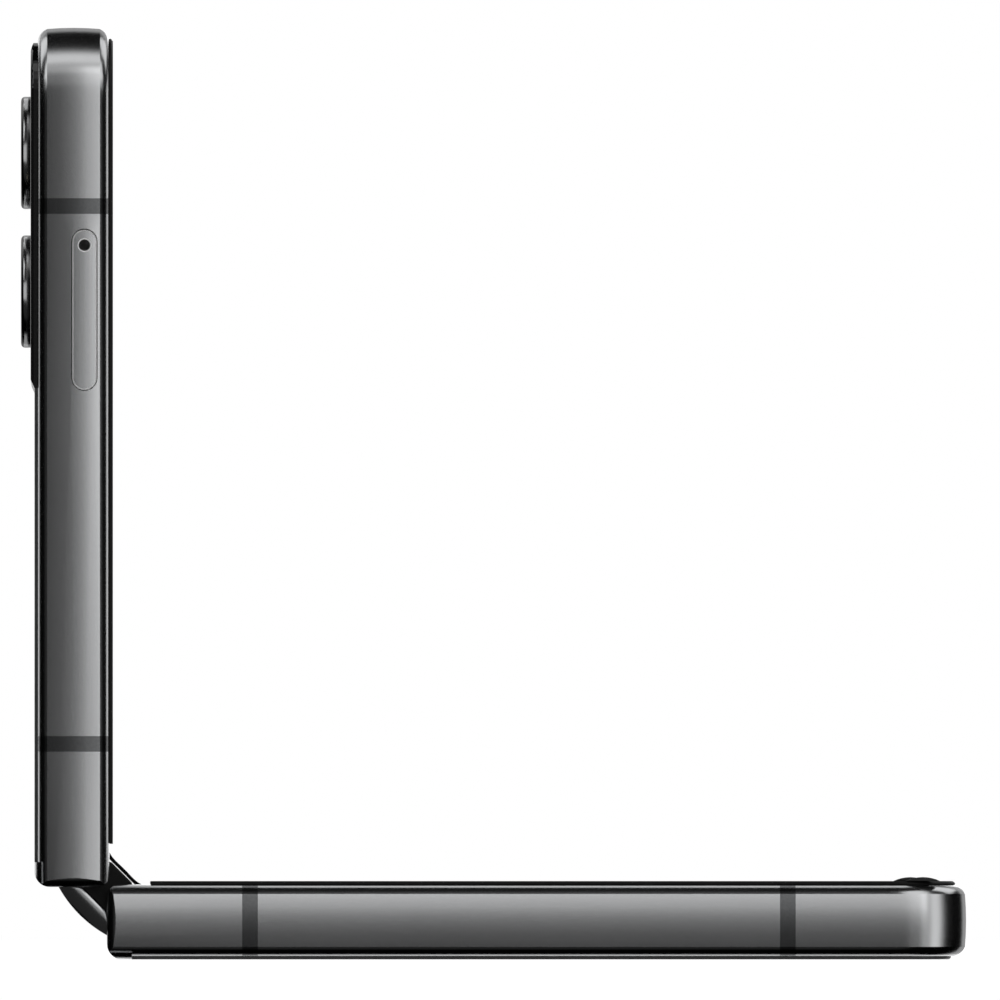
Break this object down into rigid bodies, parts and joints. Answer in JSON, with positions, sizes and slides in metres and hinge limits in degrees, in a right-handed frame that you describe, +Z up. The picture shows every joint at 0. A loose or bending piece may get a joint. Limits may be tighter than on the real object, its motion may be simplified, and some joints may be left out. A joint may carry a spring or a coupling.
{
  "type": "foldable smartphone",
  "caption": "Clamshell folding phone standing half open: two glass-backed metal halves joined by a rounded geared hinge spine, with card tray, side keys and raised lens rings.",
  "frame": {"origin": "middle of the lower half's back face, on the surface it rests on", "axes": "+X along the lower half to its free end, +Y to the side with the keys, +Z up along the upper half"},
  "size_m": [0.091, 0.0724, 0.0896],
  "materials": {
    "satin_metal": "satin anodised, graphite",
    "antenna_plastic": "matte",
    "polished_metal": "polished",
    "spine_metal": "satin",
    "back_glass": "satin glass, opaque",
    "window_glass": "glossy glass over black, opaque",
    "bezel_plastic": "matte",
    "black_rubber": "soft",
    "display_panel": "glossy, switched off",
    "steel": "machined",
    "battery_wrap": "matte film",
    "circuit_board": "solder mask",
    "module_plastic": "moulded",
    "copper": "enamelled wire",
    "flash_diffuser": "clear diffuser"
  },
  "bodies": {
    "lower_half": {"lower_frame": "satin_metal", "lower_antenna_bands": "antenna_plastic", "lower_end_trim": "polished_metal", "lower_back_glass": "back_glass", "lower_bezel": "bezel_plastic", "lower_bumpers": "black_rubber", "display_lower": "display_panel", "lower_display_plate": "steel", "lower_swing_arms": "steel", "lower_battery": "battery_wrap", "charge_board": "circuit_board", "usb_socket": "steel", "usb_tongue": "module_plastic", "speaker_module": "module_plastic", "speaker_mesh": "module_plastic", "haptic_motor": "steel", "wireless_coil": "copper", "lower_screws": "steel"},
    "hinge_spine": {"spine_cover": "spine_metal", "spine_end_caps": "polished_metal", "hinge_brackets": "steel", "fold_caps": "bezel_plastic", "gear_pins": "steel", "display_fold": "display_panel"},
    "sync_gear_1": {"sync_gear_1": "steel"},
    "sync_gear_2": {"sync_gear_2": "steel"},
    "sync_gear_3": {"sync_gear_3": "steel"},
    "sync_gear_4": {"sync_gear_4": "steel"},
    "upper_half": {"upper_frame": "satin_metal", "upper_antenna_bands": "antenna_plastic", "upper_end_trim": "polished_metal", "upper_back_glass": "back_glass", "cover_window": "window_glass", "cover_display": "display_panel", "lens_ring_upper": "polished_metal", "lens_ring_lower": "polished_metal", "lens_glass_upper": "window_glass", "lens_glass_lower": "window_glass", "camera_module_upper": "module_plastic", "camera_module_lower": "module_plastic", "flash_lens": "flash_diffuser", "upper_bezel": "bezel_plastic", "display_upper": "display_panel", "upper_display_plate": "steel", "upper_swing_arms": "steel", "upper_battery": "battery_wrap", "main_board": "circuit_board", "earpiece_speaker": "module_plastic", "earpiece_mesh": "module_plastic", "selfie_camera": "display_panel", "sim_reader": "steel", "upper_screws": "steel", "key_switches": "module_plastic"},
    "sim_tray": {"sim_tray": "satin_metal", "sim_tray_seal": "black_rubber"},
    "volume_key": {"volume_key": "satin_metal"},
    "power_key": {"power_key": "satin_metal"}
  },
  "joints": [
    {"name": "lower_fold", "type": "hinge", "parent": "lower_half", "child": "hinge_spine", "pos_m": [-0.03853, 0, 0.00553], "axis": [0, 1, 0], "range_deg": [-45, 45.5], "deforming": ["display_fold"]},
    {"name": "upper_fold", "type": "hinge", "parent": "hinge_spine", "child": "upper_half", "pos_m": [-0.04273, 0, 0.00973], "axis": [0, 1, 0], "range_deg": [-45, 45.5]},
    {"name": "gear_1_spin", "type": "hinge", "parent": "hinge_spine", "child": "sync_gear_1", "pos_m": [-0.04038, 0, 0.00368], "axis": [0, 1, 0], "range_deg": [-76, 76]},
    {"name": "gear_2_spin", "type": "hinge", "parent": "hinge_spine", "child": "sync_gear_2", "pos_m": [-0.04178, 0, 0.00508], "axis": [0, 1, 0], "range_deg": [-76, 76]},
    {"name": "gear_3_spin", "type": "hinge", "parent": "hinge_spine", "child": "sync_gear_3", "pos_m": [-0.04318, 0, 0.00648], "axis": [0, 1, 0], "range_deg": [-76, 76]},
    {"name": "gear_4_spin", "type": "hinge", "parent": "hinge_spine", "child": "sync_gear_4", "pos_m": [-0.04458, 0, 0.00788], "axis": [0, 1, 0], "range_deg": [-76, 76]},
    {"name": "tray_pull", "type": "slide", "parent": "upper_half", "child": "sim_tray", "axis": [0, -1, 0], "range_m": [0, 0.018]},
    {"name": "volume_rock", "type": "hinge", "parent": "upper_half", "child": "volume_key", "pos_m": [-0.04426, 0.03535, 0.06086], "axis": [1, 0, 0], "range_deg": [-1, 1], "stiffness_Nm_per_rad": 0.5},
    {"name": "power_press", "type": "slide", "parent": "upper_half", "child": "power_key", "axis": [0, -1, 0], "range_m": [0, 0.00025], "stiffness_N_per_m": 2000}
  ],
  "couplings": [
    {"joint": "upper_fold", "follows": "lower_fold", "ratio": 1},
    {"joint": "gear_1_spin", "follows": "lower_fold", "ratio": 1.6364},
    {"joint": "gear_2_spin", "follows": "lower_fold", "ratio": -1.6364},
    {"joint": "gear_3_spin", "follows": "lower_fold", "ratio": 1.6364},
    {"joint": "gear_4_spin", "follows": "lower_fold", "ratio": -1.6364}
  ]
}
